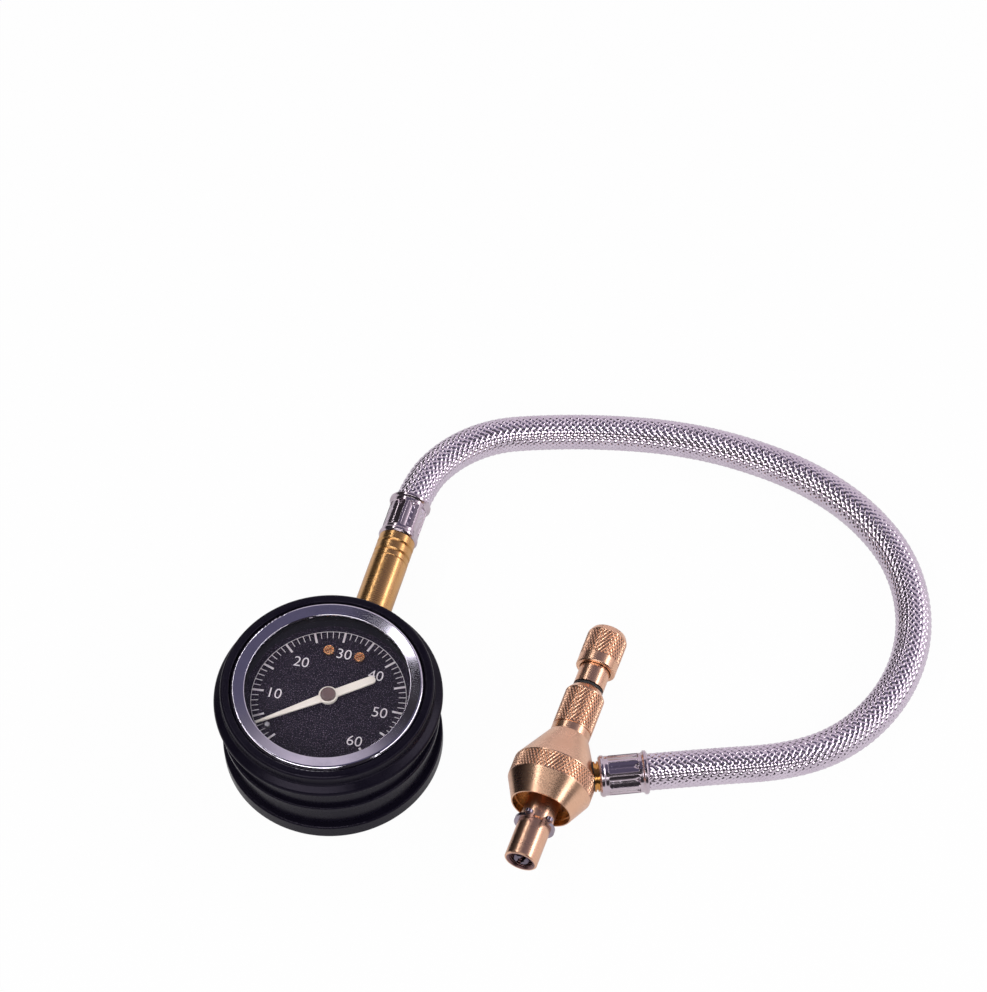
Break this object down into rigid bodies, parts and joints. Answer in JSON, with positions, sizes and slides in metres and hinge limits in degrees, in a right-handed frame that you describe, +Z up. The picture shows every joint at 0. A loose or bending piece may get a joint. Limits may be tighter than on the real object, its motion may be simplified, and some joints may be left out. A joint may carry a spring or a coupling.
{
  "type": "tire deflator",
  "caption": "Tyre deflator: a round dial gauge in a ribbed rubber boot, a braided hose and a brass head with a sliding bell sleeve and a pull-out knurled plunger.",
  "frame": {"origin": "centre of the gauge boot's back face, on the table the gauge lies on", "axes": "+Z up through the dial, +Y along the gauge's stem towards the hose, +X towards the deflator head"},
  "size_m": [0.1901, 0.1621, 0.0316],
  "materials": {
    "boot_rubber": "matte, slightly dusty",
    "case_steel": "plain",
    "bezel_chrome": "bright",
    "lens_clear": "clear",
    "ring_black": "matte",
    "dial_black": "matte black with white print",
    "pointer_paint": "satin white",
    "cap_amber": "gloss",
    "screw_brass": "turned",
    "stem_brass": "turned, satin",
    "ferrule_nickel": "crimped and plated",
    "head_brass": "turned and knurled",
    "core_brass": "turned",
    "knob_brass": "knurled",
    "tool_chrome": "plated",
    "clip_steel": "dark spring steel",
    "screw_steel": "plain",
    "seal_rubber": "matte",
    "hose_braid": "braided stainless wire over rubber",
    "movement_brass": "stamped",
    "tube_bronze": "drawn bronze",
    "spring_bronze": "drawn"
  },
  "bodies": {
    "gauge_and_sleeve": {"gauge_boot": "boot_rubber", "gauge_case": "case_steel", "case_screws": "screw_steel", "bezel": "bezel_chrome", "lens": "lens_clear", "lens_gasket": "seal_rubber", "dial_ring": "ring_black", "dial_plate": "dial_black", "dial_screws": "screw_brass", "dial_posts": "movement_brass", "stop_pin": "screw_steel", "socket_block": "stem_brass", "back_plate": "movement_brass", "front_plate": "movement_brass", "plate_pillars": "movement_brass", "pillar_screws": "screw_steel", "plate_screws": "screw_steel", "pressure_tube": "tube_bronze", "tube_tip": "movement_brass", "hairspring": "spring_bronze", "hairspring_stud": "movement_brass", "stem_tube": "stem_brass", "hose_fitting": "stem_brass", "gauge_ferrule": "ferrule_nickel", "hose": "hose_braid", "head_ferrule": "ferrule_nickel", "head_fitting": "head_brass", "port_washer": "seal_rubber", "sleeve_bell": "head_brass", "sleeve_nut": "head_brass", "lower_sleeve_seal": "seal_rubber", "upper_sleeve_seal": "seal_rubber"},
    "sector": {"sector_gear": "movement_brass", "sector_staff": "screw_steel"},
    "link": {"tip_link": "movement_brass"},
    "pointer": {"pinion_arbor": "screw_steel", "pointer": "pointer_paint", "pointer_cap": "cap_amber"},
    "core_slider": {"bumper_ring": "seal_rubber"},
    "core": {"core_tube": "core_brass", "valve_seal": "seal_rubber", "circlip": "clip_steel", "neck": "core_brass"},
    "rod_slider": {"rod_seal": "seal_rubber"},
    "rod": {"plunger_rod": "core_brass", "core_tool": "tool_chrome", "knob": "knob_brass"}
  },
  "joints": [
    {"name": "sector_turn", "type": "hinge", "parent": "gauge_and_sleeve", "child": "sector", "pos_m": [-0.00462, -0.01269, 0.017], "axis": [0, 0, 1], "range_deg": [0, 32.5], "stiffness_Nm_per_rad": 0.002, "deforming": ["pressure_tube", "tube_tip"]},
    {"name": "pointer_turn", "type": "hinge", "parent": "gauge_and_sleeve", "child": "pointer", "pos_m": [0, 0, 0.017], "axis": [0, 0, 1], "range_deg": [-260, 0], "deforming": ["hairspring"]},
    {"name": "link_turn", "type": "hinge", "parent": "sector", "child": "link", "pos_m": [-0.00905, -0.01347, 0.0179], "axis": [0, 0, 1], "range_deg": [-23.4, 0], "deforming": ["pressure_tube", "tube_tip"]},
    {"name": "sleeve_slide", "type": "slide", "parent": "gauge_and_sleeve", "child": "core_slider", "axis": [0.0558, 0.9984, 0], "range_m": [0, 0.0092]},
    {"name": "core_turn", "type": "hinge", "parent": "core_slider", "child": "core", "pos_m": [0.0643, -0.0295, 0.01215], "axis": [0.0558, 0.9984, 0], "continuous": true},
    {"name": "rod_slide", "type": "slide", "parent": "core", "child": "rod_slider", "axis": [0.0558, 0.9984, 0], "range_m": [0, 0.028]},
    {"name": "rod_turn", "type": "hinge", "parent": "rod_slider", "child": "rod", "pos_m": [0.0643, -0.0295, 0.01215], "axis": [0.0558, 0.9984, 0], "continuous": true}
  ],
  "couplings": [
    {"joint": "pointer_turn", "follows": "sector_turn", "ratio": -8},
    {"joint": "link_turn", "follows": "sector_turn", "ratio": -0.72}
  ]
}
